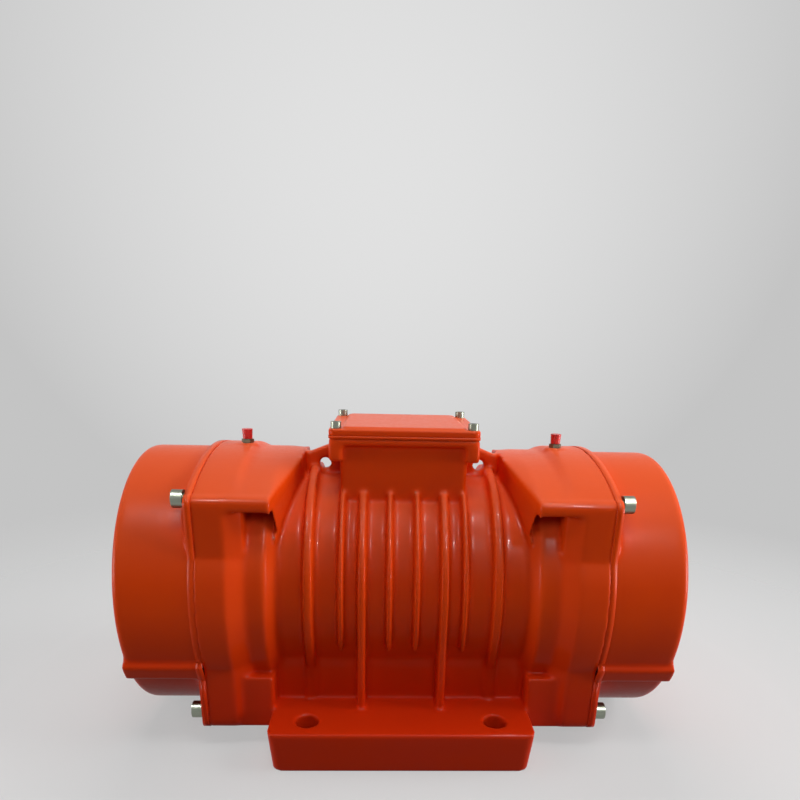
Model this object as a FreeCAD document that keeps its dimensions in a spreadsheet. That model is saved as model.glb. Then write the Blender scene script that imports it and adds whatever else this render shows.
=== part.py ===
import FreeCAD, Part
import math
import os
import Sketcher

# A foot-mounted vibration motor: a ribbed cast housing carries a three-phase stator and two
# roller bearings, and a shaft with eccentric weights at both ends turns inside it under two
# bolted end covers.
# Frame: X along the shaft, +Z up, origin on the ground under the centre of the housing.
# Most pieces are drawn about the shaft: their own origin lies on its centre line.

SIZES = {
    # overall
    "shaft_height": 143.0,
    # housing barrel: plain wall, bearing seat wall and flange ring, from the middle outwards
    "barrel_radius": 112.0,
    "barrel_bore": 98.0,
    "barrel_end": 118.0,
    "seat_start": 128.0,
    "seat_end": 146.0,
    "seat_outer_radius": 126.0,
    "seat_bore": 114.0,
    "seat_shoulder": 134.0,
    "ring_start": 161.0,
    "flange_face": 189.0,
    "ring_radius": 137.0,
    # ribs round the barrel
    "rib_radius": 121.0,
    "rib_root": 6.0,
    "rib_draft": 1.2,
    "rib_sweep": 270.0,
    "thin_rib_sweep": 220.0,
    "end_rib_at": 89.5,
    "end_rib_width": 8.5,
    "end_gusset_half": 101.5,
    "gusset_rib_at": 39.0,
    "gusset_rib_width": 7.0,
    "inner_rib_at": 13.0,
    "outer_rib_at": 58.5,
    "thin_rib_width": 4.5,
    # square flange with four bolt lugs, an arched roof over the upper two
    "flange_half": 125.0,
    "flange_shoulder": 112.0,
    "flange_crown": 140.5,
    "flange_drop": 121.5,
    "flange_corner": 9.0,
    "flange_slope": 11.0,
    "hump_start": 153.0,
    "roof_crown": 135.5,
    "roof_thickness": 15.0,
    "roof_start": 119.5,
    "hood_start": 100.0,
    "hood_half": 38.0,
    "hood_corner": 5.0,
    "hood_rise": 1.5,
    "hood_foot_angle": 78.0,
    "curtain_foot_angle": 32.0,
    "lower_web_start": 124.0,
    "lower_web_half": 120.0,
    "lower_web_top": 67.0,
    # feet
    "foot_length": 251.0,
    "foot_draft": 3.5,
    "foot_half_width": 165.0,
    "foot_inner": 86.0,
    "foot_thickness": 42.0,
    "foot_edge": 3.5,
    "foot_corner": 8.0,
    "foot_bolt_inset_along": 35.5,
    "foot_bolt_inset_across": 25.0,
    "foot_bolt_radius": 11.0,
    "skirt_thickness": 12.0,
    "skirt_top": 52.0,
    # terminal box cast on top of the barrel
    "box_half_length": 61.5,
    "box_half_width": 59.0,
    "box_root": 90.0,
    "box_corner": 5.0,
    "box_wall": 6.0,
    "box_floor": 122.0,
    "rim_half_length": 72.0,
    "rim_half_width": 66.0,
    "rim_bottom": 149.0,
    "rim_top": 156.0,
    "rim_corner": 7.0,
    "post_size": 13.0,
    "post_bottom": 134.0,
    "lead_duct_at": 50.0,
    "lead_duct_radius": 4.5,
    # lifting webs either side of the box
    "web_thickness": 14.0,
    "web_inner_height": 141.5,
    "web_inner_at": 76.0,
    "web_outer_height": 125.0,
    "web_outer_at": 117.0,
    "web_foot_at": 120.0,
    "lifting_hole_at": 80.0,
    "lifting_hole_height": 122.0,
    "lifting_hole_radius": 6.0,
    "lifting_notch_radius": 7.0,
    "lifting_notch_length": 28.0,
    # grease nipples on their bosses
    "nipple_at": 160.0,
    "nipple_boss_radius": 11.0,
    "nipple_boss_top": 141.5,
    "nipple_shank_radius": 3.0,
    "nipple_shank_length": 9.0,
    "nipple_hex": 11.0,
    "nipple_hex_height": 3.5,
    "nipple_neck_radius": 2.2,
    "nipple_neck_length": 5.0,
    "nipple_head_radius": 3.2,
    "nipple_head_length": 3.2,
    "grease_cap_wall": 1.2,
    "grease_cap_crown": 1.6,
    "grease_cap_flare": 0.6,
    # end covers
    "cover_radius": 136.0,
    "cover_wall": 6.0,
    "cover_end": 263.0,
    "cover_dome": 2.0,
    "cover_edge": 7.5,
    "cover_ear_thickness": 6.0,
    "cover_ear_bevel": 4.5,
    "cover_rib_angle": 24.5,
    "cover_rib_height": 5.5,
    "cover_rib_width": 24.0,
    "cover_rib_taper": 0.7,
    "cover_seal_thickness": 1.0,
    # cover bolts
    "cover_bolt_across": 111.0,
    "cover_bolt_up": 107.0,
    "cover_bolt_radius": 5.0,
    "cover_bolt_length": 26.0,
    # rotor shaft
    "shaft_core_radius": 30.0,
    "shaft_journal_radius": 27.5,
    "shaft_weight_radius": 25.0,
    "shaft_end": 250.0,
    "shaft_end_chamfer": 2.0,
    # roller bearings
    "bearing_start": 137.0,
    "bearing_width": 29.0,
    "bearing_outer_radius": 60.0,
    "bearing_ring_thickness": 7.75,
    "roller_length": 19.0,
    "roller_spacing": 1.2,
    "cage_width": 25.0,
    "cage_thickness": 6.5,
    "race_lip": 3.0,
    # bearing flanges and their outer caps
    "hub_wall": 14.0,
    "hub_end": 168.0,
    "hub_lip_depth": 12.0,
    "bearing_flange_web": 14.0,
    "bearing_flange_bolt_inset": 8.5,
    "bearing_flange_bolt_radius": 3.0,
    "bearing_flange_bolt_length": 26.0,
    "bearing_flange_bolt_count": 6,
    "bearing_flange_bolt_start": 30.0,
    "bearing_cap_thickness": 5.5,
    "bearing_cap_bolt_radius": 2.5,
    "bearing_cap_bolt_length": 18.0,
    "bearing_cap_bolt_count": 4,
    "bearing_cap_bolt_start": 45.0,
    "spacer_radius": 38.0,
    "spacer_end": 180.0,
    # eccentric weights, hanging at rest
    "weight_radius": 108.0,
    "weight_hub_radius": 42.0,
    "weight_shoulder_angle": 12.0,
    "weight_hub_angle": 22.0,
    "fixed_weight_thickness": 29.0,
    "adjustable_weight_thickness": 27.0,
    "weight_split": 3.0,
    "clamp_bolt_radius": 4.0,
    "clamp_bolt_height": 34.0,
    "clamp_bolt_length": 46.0,
    "clamp_bolt_seat": 24.0,
    "key_width": 10.0,
    "key_height": 8.0,
    "key_depth": 5.0,
    "end_ring_thickness": 2.5,
    "end_ring_width": 5.5,
    # stator and rotor packs
    "core_half_length": 46.0,
    "stator_bore": 62.0,
    "winding_overhang": 34.0,
    "winding_inner_radius": 66.0,
    "winding_outer_radius": 91.0,
    "winding_edge": 6.0,
    "air_gap": 0.8,
    "rotor_end_ring_inner": 40.0,
    "rotor_end_ring_outer": 58.0,
    "rotor_end_ring_length": 14.0,
    # terminal box lid, its gasket and bolts
    "lid_thickness": 7.0,
    "lid_pad_height": 2.0,
    "lid_pad_gap": 1.5,
    "lid_edge": 1.5,
    "gasket_thickness": 1.5,
    "gasket_width": 12.0,
    "lid_bolt_at_length": 65.0,
    "lid_bolt_at_width": 57.0,
    "lid_bolt_radius": 3.0,
    "lid_bolt_length": 22.0,
    # terminal block
    "block_length": 62.0,
    "block_width": 34.0,
    "block_height": 12.0,
    "stud_pitch": 18.0,
    "stud_row": 9.0,
    "stud_radius": 2.5,
    "stud_height": 12.0,
    "nut_across": 8.0,
    "nut_height": 4.0,
    "earth_screw_at": 44.0,
    # cable gland in the rear wall of the box
    "gland_height": 133.0,
    "gland_bore": 8.0,
    "gland_thread_radius": 10.0,
    "gland_hex": 26.0,
    "gland_hex_length": 7.0,
    "gland_collar_radius": 11.0,
    "gland_collar_length": 9.0,
    "gland_nut_radius": 13.0,
    "gland_nut_length": 15.0,
    "gland_seal_wall": 2.0,
    # socket head screws, as multiples of the shank's radius
    "screw_head": 1.65,
    "screw_head_height": 2.0,
    "screw_hexagon": 1.6,
    # clearances
    "running_gap": 0.03,
    "screw_gap": 0.05,
    "spigot_gap": 0.1,
    "moving_gap": 0.4,
    "labyrinth_gap": 1.0,
}

# a cut that takes away less than this, in cubic millimetres, has missed
LEAST_CUT = 0.5
# edges closer than this to a height lie at it
NEAR = 0.01

doc = FreeCAD.newDocument("vibration_motor")


class Size:
    """A length with the sheet formula that it comes from."""

    def __init__(self, value, formula):
        self.value = float(value)
        self.formula = formula

    def join(self, sign, value, left, right):
        return Size(value, "(%s %s %s)" % (formula_of(left), sign, formula_of(right)))

    def __add__(self, other):
        return self.join("+", self.value + value_of(other), self, other)

    def __radd__(self, other):
        return self.join("+", value_of(other) + self.value, other, self)

    def __sub__(self, other):
        return self.join("-", self.value - value_of(other), self, other)

    def __rsub__(self, other):
        return self.join("-", value_of(other) - self.value, other, self)

    def __mul__(self, other):
        return self.join("*", self.value * value_of(other), self, other)

    def __rmul__(self, other):
        return self.join("*", value_of(other) * self.value, other, self)

    def __truediv__(self, other):
        return self.join("/", self.value / value_of(other), self, other)

    def __neg__(self):
        return Size(-self.value, "(0 - %s)" % self.formula)


def value_of(size):
    return size.value if isinstance(size, Size) else float(size)


def formula_of(size):
    return size.formula if isinstance(size, Size) else repr(float(size))


class Measures:
    """Every size of the sheet as an attribute."""


mm = Measures()


def fill_sheet():
    sheet = doc.addObject("Spreadsheet::Sheet", "sizes")
    for row, (name, value) in enumerate(SIZES.items(), start=1):
        sheet.set("A%d" % row, name)
        sheet.set("B%d" % row, str(value))
        sheet.setAlias("B%d" % row, name)
        setattr(mm, name, Size(value, "sizes." + name))
    doc.recompute()


def bind(thing, path, size):
    """Sets a property to a size and ties it to the sheet."""
    if isinstance(size, Size):
        thing.setExpression(path, size.formula)


def polar(radius, degrees):
    turn = math.radians(degrees)
    return radius * math.cos(turn), radius * math.sin(turn)


# ---------------------------------------------------------------- sketches


class Arc:
    """Joins two outline points by a minor arc: turn 1 is anticlockwise, -1 clockwise."""

    def __init__(self, radius, turn=1):
        self.radius = radius
        self.turn = turn


def origin_plane(body, role):
    for feature in body.Origin.OriginFeatures:
        if feature.Role == role:
            return feature
    raise ValueError("no plane " + role)


def new_sketch(body, role, offset=0.0):
    sketch = body.newObject("Sketcher::SketchObject", body.Label + "_sketch")
    sketch.AttachmentSupport = (origin_plane(body, role), [""])
    sketch.MapMode = "FlatFace"
    sketch.AttachmentOffset = FreeCAD.Placement(
        FreeCAD.Vector(0, 0, value_of(offset)), FreeCAD.Rotation())
    bind(sketch, "AttachmentOffset.Base.z", offset)
    return sketch


def fix_point(sketch, index, position, point):
    for kind, size in zip(("DistanceX", "DistanceY"), point):
        number = sketch.addConstraint(
            Sketcher.Constraint(kind, -1, 1, index, position, value_of(size)))
        bind(sketch, "Constraints[%d]" % number, size)


def fix_radius(sketch, index, radius):
    number = sketch.addConstraint(Sketcher.Constraint("Radius", index, value_of(radius)))
    bind(sketch, "Constraints[%d]" % number, radius)


def flat(point):
    return FreeCAD.Vector(value_of(point[0]), value_of(point[1]), 0)


def arc_between(start, end, arc):
    """The circle arc from start to end, drawn anticlockwise as sketches keep it."""
    chord = end - start
    middle = (start + end) * 0.5
    radius = value_of(arc.radius)
    rise = math.sqrt(max(radius ** 2 - chord.Length ** 2 / 4, 0.0))
    side = FreeCAD.Vector(-chord.y, chord.x, 0).normalize() * arc.turn
    centre = middle + side * rise
    first, last = (start, end) if arc.turn > 0 else (end, start)
    angles = [math.atan2(p.y - centre.y, p.x - centre.x) for p in (first, last)]
    circle = Part.Circle(centre, FreeCAD.Vector(0, 0, 1), radius)
    return Part.ArcOfCircle(circle, angles[0], angles[1])


def draw_outline(sketch, items):
    """A closed outline: points, with an Arc between the two points that it joins."""
    count = len(items)
    segments = []
    for index, item in enumerate(items):
        if isinstance(item, Arc):
            continue
        follower = items[(index + 1) % count]
        if isinstance(follower, Arc):
            segments.append((item, items[(index + 2) % count], follower))
        else:
            segments.append((item, follower, None))
    drawn = []
    for start, end, arc in segments:
        if arc is None:
            number = sketch.addGeometry(Part.LineSegment(flat(start), flat(end)), False)
            drawn.append((number, 1, 2))
            continue
        number = sketch.addGeometry(arc_between(flat(start), flat(end), arc), False)
        drawn.append((number, 1, 2) if arc.turn > 0 else (number, 2, 1))
        fix_radius(sketch, number, arc.radius)
    for index, (number, begin, finish) in enumerate(drawn):
        following, its_begin, _ = drawn[(index + 1) % len(drawn)]
        sketch.addConstraint(Sketcher.Constraint("Coincident", number, finish, following, its_begin))
        fix_point(sketch, number, begin, segments[index][0])


def draw_circles(sketch, centres, radius):
    for centre in centres:
        circle = Part.Circle(flat(centre), FreeCAD.Vector(0, 0, 1), value_of(radius))
        number = sketch.addGeometry(circle, False)
        fix_radius(sketch, number, radius)
        fix_point(sketch, number, 3, centre)


def draw_hexagons(sketch, centres, across):
    """Hexagons given by their width across flats."""
    reach = across / math.sqrt(3)
    for centre in centres:
        corners = []
        for step in range(6):
            along, up = polar(reach, 60 * step)
            corners.append((centre[0] + along, centre[1] + up))
        draw_outline(sketch, corners)


def rectangle(left, bottom, right, top):
    return [(left, bottom), (right, bottom), (right, top), (left, top)]


def rounded_rectangle(half_length, half_width, radius, middle=0.0):
    """A rectangle with round corners, centred at middle on the second axis."""
    low = middle - half_width
    high = middle + half_width
    return [
        (-half_length + radius, low), (half_length - radius, low), Arc(radius),
        (half_length, low + radius), (half_length, high - radius), Arc(radius),
        (half_length - radius, high), (-half_length + radius, high), Arc(radius),
        (-half_length, high - radius), (-half_length, low + radius), Arc(radius),
    ]


def four_corners(half_length, half_width):
    return [(half_length * i, half_width * j) for i in (-1, 1) for j in (-1, 1)]


def on_circle(radius, count, start=0.0):
    return [polar(radius, start + 360.0 * step / count) for step in range(int(count))]


# ---------------------------------------------------------------- features


def new_body(label, height=None, turn=0.0, at=None):
    """A body placed on the shaft line, or at a point of its own, turned about the vertical."""
    body = doc.addObject("PartDesign::Body", label)
    body.Label = label
    body.AllowCompound = True
    place = at if at is not None else (0.0, 0.0, mm.shaft_height if height is None else height)
    body.Placement = FreeCAD.Placement(
        FreeCAD.Vector(*[value_of(size) for size in place]),
        FreeCAD.Rotation(FreeCAD.Vector(0, 0, 1), turn))
    for axis, size in zip("xyz", place):
        bind(body, "Placement.Base." + axis, size)
    return body


def feature_on(body, kind, sketch):
    feature = body.newObject("PartDesign::" + kind, body.Label + "_" + kind.lower())
    feature.Profile = sketch
    sketch.Visibility = False
    return feature


def pad(body, sketch, length, symmetric=False):
    feature = feature_on(body, "Pad", sketch)
    if symmetric:
        feature.SideType = "Symmetric"
    feature.Length = value_of(length)
    bind(feature, "Length", length)
    return feature


def pocket(body, sketch, length, towards_normal=False, symmetric=False):
    """Cuts away from the sketch, and makes sure that something was cut."""
    doc.recompute()
    before = body.Shape.Volume
    feature = feature_on(body, "Pocket", sketch)
    feature.Reversed = towards_normal
    if symmetric:
        feature.SideType = "Symmetric"
    feature.Length = value_of(length)
    bind(feature, "Length", length)
    doc.recompute()
    if body.Shape.Volume > before - LEAST_CUT:
        raise ValueError("a pocket of %s cuts nothing" % body.Label)
    return feature


def revolve(body, sketch, axis="H_Axis", angle=360.0, symmetric=False):
    feature = feature_on(body, "Revolution", sketch)
    feature.ReferenceAxis = (sketch, [axis])
    feature.Angle = angle
    feature.Midplane = symmetric
    return feature


def groove(body, sketch, axis="H_Axis"):
    doc.recompute()
    before = body.Shape.Volume
    feature = feature_on(body, "Groove", sketch)
    feature.ReferenceAxis = (sketch, [axis])
    feature.Angle = 360.0
    doc.recompute()
    if body.Shape.Volume > before - LEAST_CUT:
        raise ValueError("a groove of %s cuts nothing" % body.Label)
    return feature


def mirror(body, originals, role):
    feature = body.newObject("PartDesign::Mirrored", body.Label + "_mirrored")
    feature.Originals = originals
    feature.MirrorPlane = (origin_plane(body, role), [""])
    body.Tip = feature
    return feature


def lofted(body, role, first_at, first_outline, second_at, second_outline):
    """A ruled loft between two outlines on parallel planes."""
    first = new_sketch(body, role, first_at)
    draw_outline(first, first_outline)
    second = new_sketch(body, role, second_at)
    draw_outline(second, second_outline)
    feature = body.newObject("PartDesign::AdditiveLoft", body.Label + "_loft")
    feature.Profile = first
    feature.Sections = [second]
    feature.Ruled = True
    return feature


def soften(body, radius, chosen):
    """A fillet on the edges of the tip that the test picks."""
    doc.recompute()
    tip = body.Tip
    names = ["Edge%d" % (i + 1) for i, edge in enumerate(tip.Shape.Edges) if chosen(edge)]
    if not names:
        raise ValueError("no edge to soften on " + body.Label)
    feature = body.newObject("PartDesign::Fillet", body.Label + "_fillet")
    feature.Base = (tip, names)
    feature.Radius = value_of(radius)
    bind(feature, "Radius", radius)
    return feature


def outline_pad(body, role, offset, items, length, symmetric=False):
    sketch = new_sketch(body, role, offset)
    draw_outline(sketch, items)
    return pad(body, sketch, length, symmetric)


def circle_pad(body, role, offset, centres, radius, length, symmetric=False):
    sketch = new_sketch(body, role, offset)
    draw_circles(sketch, centres, radius)
    return pad(body, sketch, length, symmetric)


def circle_pocket(body, role, offset, centres, radius, length, towards_normal=False,
                  symmetric=False):
    sketch = new_sketch(body, role, offset)
    draw_circles(sketch, centres, radius)
    return pocket(body, sketch, length, towards_normal, symmetric)


def turned(label, profile, **place):
    """A piece turned about the shaft line from a profile of (along, radius) points."""
    body = new_body(label, **place)
    sketch = new_sketch(body, "XZ_Plane")
    draw_outline(sketch, profile)
    revolve(body, sketch)
    return body


def ring_profile(start, inner, end, outer):
    return rectangle(start, inner, end, outer)


SIDES = {"right": 0.0, "left": 180.0}


# ---------------------------------------------------------------- housing


def arch_radius(half_chord, rise):
    return (half_chord * half_chord + rise * rise) / (rise * 2)


def flange_outline(inset=0.0):
    """The square flange: upright sides, round corners and an arched top."""
    side = mm.flange_half - inset
    drop = mm.flange_drop - inset
    corner = mm.flange_corner
    shoulder = mm.flange_shoulder - inset
    return [(corner - side, -drop), (side - corner, -drop), Arc(corner), (side, corner - drop)] + \
        arched_top(side, shoulder, corner, mm.flange_crown - mm.flange_shoulder) + \
        [(-side, corner - drop), Arc(corner)]


def arched_top(side, shoulder, corner, rise):
    """The line over the top, from the right edge over the arch to the left edge."""
    return [
        (side, shoulder - corner), Arc(corner),
        (side - corner, shoulder), Arc(arch_radius(side - corner, rise)),
        (corner - side, shoulder), Arc(corner),
        (-side, shoulder - corner),
    ]


def roof_top(crown):
    return arched_top(mm.flange_half, mm.flange_shoulder, mm.flange_corner,
                      crown - mm.flange_shoulder)


def roof_ceiling():
    """The underside of the roof, from its left edge to its right edge."""
    side = mm.flange_half
    under = mm.flange_shoulder - mm.roof_thickness
    arch = arch_radius(side, mm.roof_crown - mm.flange_shoulder)
    return [(-side, under), Arc(arch, -1), (side, under)]


def curtain_outline():
    """The full width of the roof, drawn in below it to the barrel."""
    side = mm.flange_half
    under = mm.flange_shoulder - mm.roof_thickness
    across, up = polar(mm.barrel_radius, mm.curtain_foot_angle.value)
    return roof_top(mm.roof_crown) + [(-side, under), (-across, up), (across, up), (side, under)]


def hood_outline():
    """The hood's narrow inner end, over the crest of the barrel."""
    side = mm.hood_half
    shoulder = mm.roof_crown - mm.hood_rise
    corner = mm.hood_corner
    under = shoulder - corner - mm.hood_rise
    across, up = polar(mm.barrel_radius, mm.hood_foot_angle.value)
    top = arched_top(side, shoulder, corner, mm.hood_rise)
    return top + [(-side, under), (-across, up), (across, up), (side, under)]


def add_flange(body):
    """One flange with its hump, roof, hood and lower webs, and its mirror image."""
    plate = outline_pad(body, "YZ_Plane", mm.ring_start, flange_outline(),
                        mm.flange_face - mm.ring_start)
    slope = lofted(body, "YZ_Plane", mm.ring_start, flange_outline(),
                   mm.seat_end, flange_outline(mm.flange_slope))
    hump = outline_pad(body, "YZ_Plane", mm.hump_start,
                       roof_top(mm.flange_crown) + roof_ceiling(), mm.ring_start - mm.hump_start)
    step = lofted(body, "YZ_Plane", mm.hump_start, roof_top(mm.flange_crown) + roof_ceiling(),
                  mm.seat_end, roof_top(mm.roof_crown) + roof_ceiling())
    roof = outline_pad(body, "YZ_Plane", mm.roof_start, roof_top(mm.roof_crown) + roof_ceiling(),
                       mm.seat_end - mm.roof_start)
    hood = lofted(body, "YZ_Plane", mm.roof_start, curtain_outline(),
                  mm.hood_start, hood_outline())
    webs = new_sketch(body, "YZ_Plane", mm.lower_web_start)
    inner = mm.foot_inner
    outer = mm.lower_web_half
    draw_outline(webs, rectangle(inner, -mm.flange_drop, outer, -mm.lower_web_top))
    draw_outline(webs, rectangle(-outer, -mm.flange_drop, -inner, -mm.lower_web_top))
    lower = pad(body, webs, mm.ring_start - mm.lower_web_start)
    boss = circle_pad(body, "XY_Plane", mm.barrel_radius, [(mm.nipple_at, 0.0)],
                      mm.nipple_boss_radius, mm.nipple_boss_top - mm.barrel_radius)
    mirror(body, [plate, slope, hump, step, roof, hood, lower, boss], "YZ_Plane")


def add_barrel(body):
    half = [
        (mm.flange_face, mm.ring_radius), (mm.ring_start, mm.ring_radius),
        (mm.seat_end, mm.seat_outer_radius), (mm.seat_start, mm.seat_outer_radius),
        (mm.barrel_end, mm.barrel_radius),
    ]
    other_half = [(-along, radius) for along, radius in reversed(half)]
    sketch = new_sketch(body, "XZ_Plane")
    draw_outline(sketch, half + other_half + [(-mm.flange_face, 0.0), (mm.flange_face, 0.0)])
    revolve(body, sketch)


def add_ribs(body, places, width, sweep):
    """Ribs round the upper part of the barrel, each on both halves."""
    sketch = new_sketch(body, "XZ_Plane")
    root = mm.barrel_radius - mm.rib_root
    for place in places:
        for along in (place, -place):
            draw_outline(sketch, [
                (along - width / 2 - mm.rib_draft, root), (along + width / 2 + mm.rib_draft, root),
                (along + width / 2, mm.rib_radius), (along - width / 2, mm.rib_radius)])
    revolve(body, sketch, angle=value_of(sweep), symmetric=True)


def add_feet(body):
    """Two drafted foot rails, the skirts that carry the barrel and the rib gussets."""
    half = mm.foot_length / 2
    ground = -mm.shaft_height
    top = mm.foot_thickness - mm.shaft_height
    half_width = (mm.foot_half_width - mm.foot_inner) / 2
    middle = (mm.foot_half_width + mm.foot_inner) / 2
    draft = mm.foot_draft
    rail = lofted(body, "XY_Plane", ground,
                  rounded_rectangle(half - draft, half_width - draft, mm.foot_corner, middle),
                  top, rounded_rectangle(half, half_width, mm.foot_corner, middle))
    skirt = outline_pad(body, "XZ_Plane", mm.foot_inner, rectangle(
        -mm.lower_web_start, top - mm.foot_thickness / 2, mm.lower_web_start, -mm.skirt_top),
        mm.skirt_thickness)
    mirror(body, [rail, skirt], "XZ_Plane")
    gussets = []
    for at, half_span, width in ((mm.gusset_rib_at, mm.rib_radius, mm.gusset_rib_width),
                                 (mm.end_rib_at, mm.end_gusset_half, mm.end_rib_width)):
        sketch = new_sketch(body, "YZ_Plane", at)
        for side in (-1, 1):
            edges = sorted([mm.foot_inner * side, half_span * side], key=value_of)
            draw_outline(sketch, rectangle(edges[0], top - mm.foot_edge, edges[1], 0.0))
        gussets.append(pad(body, sketch, width, symmetric=True))
    mirror(body, gussets, "YZ_Plane")


def add_terminal_box(body):
    length = mm.box_half_length
    width = mm.box_half_width
    outline_pad(body, "XY_Plane", mm.box_root, rounded_rectangle(length, width, mm.box_corner),
                mm.rim_top - mm.box_root)
    outline_pad(body, "XY_Plane", mm.rim_bottom, rounded_rectangle(
        mm.rim_half_length, mm.rim_half_width, mm.rim_corner), mm.rim_top - mm.rim_bottom)
    sketch = new_sketch(body, "XY_Plane", mm.post_bottom)
    for across in (-1, 1):
        for along in (-1, 1):
            ends = sorted([mm.rim_half_length * along,
                           (mm.rim_half_length - mm.post_size) * along], key=value_of)
            walls = sorted([mm.rim_half_width * across,
                            (mm.rim_half_width - mm.post_size) * across], key=value_of)
            draw_outline(sketch, rectangle(ends[0], walls[0], ends[1], walls[1]))
    pad(body, sketch, mm.rim_bottom - mm.post_bottom)


def add_lifting_webs(body):
    web = outline_pad(body, "XZ_Plane", 0.0, [
        (mm.box_half_length, mm.box_root), (mm.web_foot_at, mm.box_root),
        (mm.web_outer_at, mm.web_outer_height), (mm.web_inner_at, mm.web_inner_height),
        (mm.box_half_length, mm.web_inner_height)],
        mm.web_thickness, symmetric=True)
    mirror(body, [web], "YZ_Plane")


def motor_housing():
    body = new_body("motor_housing")
    add_flange(body)
    add_barrel(body)
    add_ribs(body, [mm.gusset_rib_at], mm.gusset_rib_width, mm.rib_sweep)
    add_ribs(body, [mm.end_rib_at], mm.end_rib_width, mm.rib_sweep)
    add_ribs(body, [mm.inner_rib_at, mm.outer_rib_at], mm.thin_rib_width,
             mm.thin_rib_sweep)
    add_feet(body)
    add_terminal_box(body)
    add_lifting_webs(body)
    doc.recompute()

    bore = new_sketch(body, "XZ_Plane")
    half = [(mm.flange_face, mm.seat_bore), (mm.seat_shoulder, mm.seat_bore),
            (mm.seat_shoulder, mm.barrel_bore)]
    other_half = [(-along, radius) for along, radius in reversed(half)]
    draw_outline(bore, half + other_half + [(-mm.flange_face, 0.0), (mm.flange_face, 0.0)])
    groove(body, bore)

    cavity = new_sketch(body, "XY_Plane", mm.rim_top)
    draw_outline(cavity, rounded_rectangle(mm.box_half_length - mm.box_wall,
                                           mm.box_half_width - mm.box_wall, mm.rim_corner))
    pocket(body, cavity, mm.rim_top - mm.box_floor)
    circle_pocket(body, "XY_Plane", mm.box_floor, [(mm.lead_duct_at, 0.0)], mm.lead_duct_radius,
                  mm.box_floor - mm.barrel_bore / 2)
    circle_pocket(body, "XY_Plane", mm.rim_top,
                  four_corners(mm.lid_bolt_at_length, mm.lid_bolt_at_width),
                  mm.lid_bolt_radius + mm.screw_gap, mm.lid_bolt_length)
    circle_pocket(body, "XY_Plane", -mm.shaft_height,
                  four_corners(mm.foot_length / 2 - mm.foot_bolt_inset_along,
                               mm.foot_half_width - mm.foot_bolt_inset_across),
                  mm.foot_bolt_radius, mm.foot_thickness, towards_normal=True)
    holes = [(mm.lifting_hole_at * side, mm.lifting_hole_height) for side in (-1, 1)]
    circle_pocket(body, "XZ_Plane", 0.0, holes, mm.lifting_hole_radius, mm.web_thickness,
                  symmetric=True)
    notches = circle_pocket(body, "XZ_Plane", mm.web_thickness / 2, holes,
                            mm.lifting_notch_radius, mm.lifting_notch_length, towards_normal=True)
    mirror(body, [notches], "XZ_Plane")
    circle_pocket(body, "XZ_Plane", mm.box_wall - mm.box_half_width, [(0.0, mm.gland_height)],
                  mm.gland_thread_radius + mm.screw_gap, mm.box_wall)
    bolt_holes = circle_pocket(body, "YZ_Plane", mm.flange_face,
                               four_corners(mm.cover_bolt_across, mm.cover_bolt_up),
                               mm.cover_bolt_radius + mm.screw_gap, mm.cover_bolt_length)
    flange_holes = circle_pocket(body, "YZ_Plane", mm.seat_shoulder, bearing_flange_bolt_centres(),
        mm.bearing_flange_bolt_radius + mm.screw_gap, mm.bearing_flange_bolt_length)
    nipple_hole = circle_pocket(body, "XY_Plane", mm.nipple_boss_top, [(mm.nipple_at, 0.0)],
                                mm.nipple_shank_radius + mm.screw_gap, mm.nipple_shank_length)
    mirror(body, [bolt_holes, flange_holes, nipple_hole], "YZ_Plane")
    return body


# ---------------------------------------------------------------- end covers


def end_cover(side):
    """A cast cup with a square bolting flange and an axial rib low on each flank."""
    body = new_body("end_cover_" + side, turn=SIDES[side])
    face = mm.flange_face + mm.cover_seal_thickness
    outer = mm.cover_radius
    edge = mm.cover_edge
    bevel_start = face + mm.cover_ear_thickness - mm.cover_ear_bevel
    outline_pad(body, "YZ_Plane", face, flange_outline(), bevel_start - face)
    lofted(body, "YZ_Plane", bevel_start, flange_outline(),
           face + mm.cover_ear_thickness, flange_outline(mm.cover_ear_bevel))
    cup = new_sketch(body, "XZ_Plane")
    draw_outline(cup, [
        (face, 0.0), (face, outer), (mm.cover_end - edge, outer), Arc(edge, -1),
        (mm.cover_end, outer - edge), (mm.cover_end + mm.cover_dome, 0.0)])
    revolve(body, cup)
    ribs = new_sketch(body, "YZ_Plane", face)
    for across in (-1, 1):
        draw_outline(ribs, rib_section(across))
    pad(body, ribs, mm.cover_end - face)
    inner = outer - mm.cover_wall
    hollow = new_sketch(body, "XZ_Plane")
    draw_outline(hollow, [
        (face, 0.0), (mm.cover_end - mm.cover_wall, 0.0),
        (mm.cover_end - mm.cover_wall, inner - edge), Arc(edge - mm.cover_wall / 2, 1),
        (mm.cover_end - edge, inner), (face, inner)])
    groove(body, hollow)
    circle_pocket(body, "YZ_Plane", face + mm.cover_ear_thickness,
                  four_corners(mm.cover_bolt_across, mm.cover_bolt_up),
                  mm.cover_bolt_radius + mm.spigot_gap, mm.cover_ear_thickness)
    return body


def rib_section(across):
    """The rib's section, square to the cover's wall, with its root inside the wall."""
    angle = mm.cover_rib_angle.value
    root = mm.cover_radius - mm.cover_wall / 2
    crest = mm.cover_radius + mm.cover_rib_height
    slope_across, slope_up = polar(1.0, 90.0 - angle)
    points = []
    taper = mm.cover_rib_taper.value
    for radius, shift in ((root, -1), (crest, -taper), (crest, taper), (root, 1)):
        along, up = polar(radius, -angle)
        half = mm.cover_rib_width / 2 * shift
        points.append(((along - half * slope_across) * across, up - half * slope_up))
    return points if across < 0 else points[::-1]


def cover_seal(side):
    """The flat ring that lies between housing and cover."""
    return turned("cover_seal_" + side, ring_profile(
        mm.flange_face, mm.seat_bore + mm.cover_wall, mm.flange_face + mm.cover_seal_thickness,
        mm.cover_radius - mm.labyrinth_gap), turn=SIDES[side])


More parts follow.
